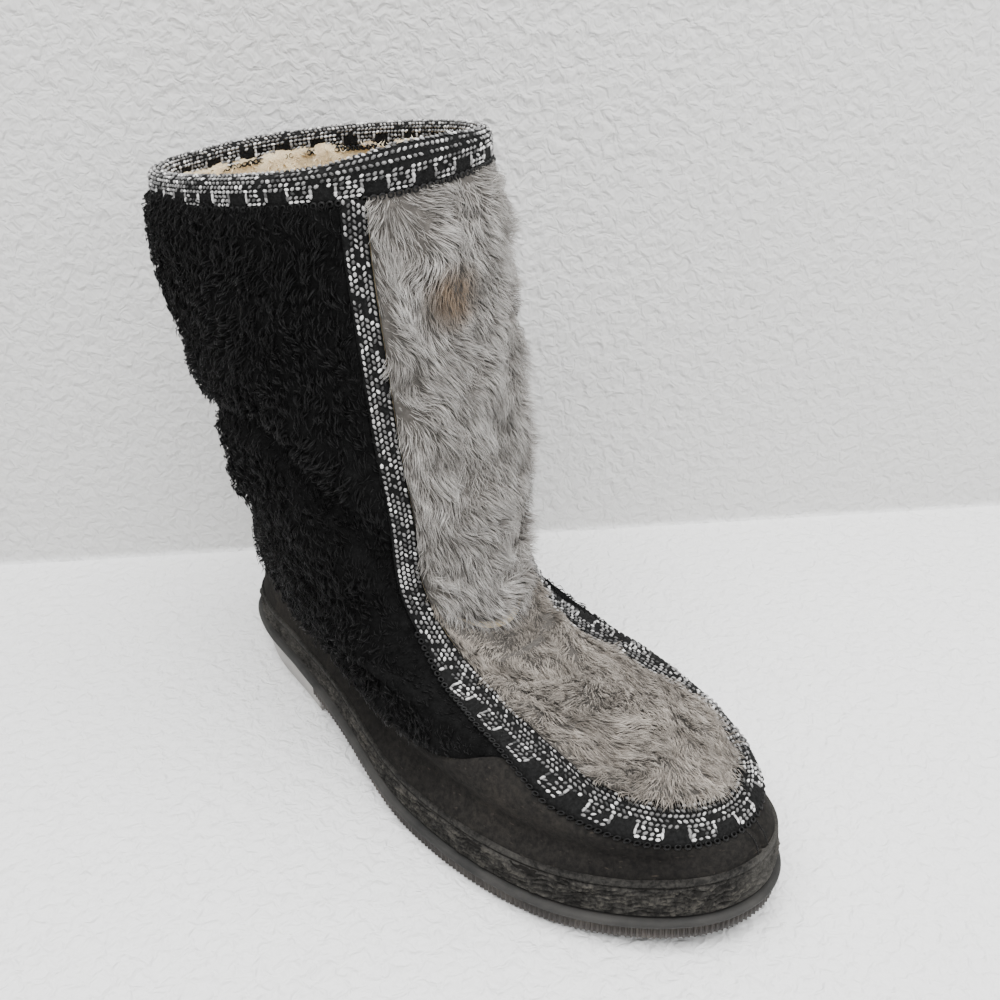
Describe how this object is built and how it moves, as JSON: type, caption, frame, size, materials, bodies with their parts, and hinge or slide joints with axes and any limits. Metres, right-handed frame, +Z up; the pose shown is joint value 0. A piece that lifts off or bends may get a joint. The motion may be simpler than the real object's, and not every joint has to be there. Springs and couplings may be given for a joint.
{
  "type": "mukluk boot",
  "caption": "Mukluk boot with a curly black pile shaft, a grey fur flap and moccasin vamp edged with woven braid, and a rubber sole with a low heel.",
  "frame": {"origin": "centre of the bounding box at floor level", "axes": "+Z up, the toe points to -Y, the boot's outer side faces -X"},
  "size_m": [0.1122, 0.2786, 0.2419],
  "materials": {
    "gum_rubber": "translucent, ribbed",
    "heel_rubber": "translucent, satin",
    "lip_rubber": "dark, translucent at its edge",
    "band_rubber": "matte, wavy grain",
    "felt": "soft, matte",
    "lining": "cream fleece inside, woven backing outside",
    "nubuck": "matte nubuck, scuffed",
    "black_pile": "short curly pile",
    "braid": "woven jacquard ribbon",
    "grey_fur": "long straight pile"
  },
  "bodies": {
    "root": {"outsole_forefoot": "gum_rubber", "heel_block": "heel_rubber", "sole_lip": "lip_rubber", "foxing_band": "band_rubber", "insole": "felt", "upper": "lining", "leather_foxing": "nubuck", "pile_shaft": "black_pile", "front_braid": "braid", "collar_braid": "braid", "shaft_flap": "grey_fur", "vamp_plug": "grey_fur"}
  },
  "joints": []
}
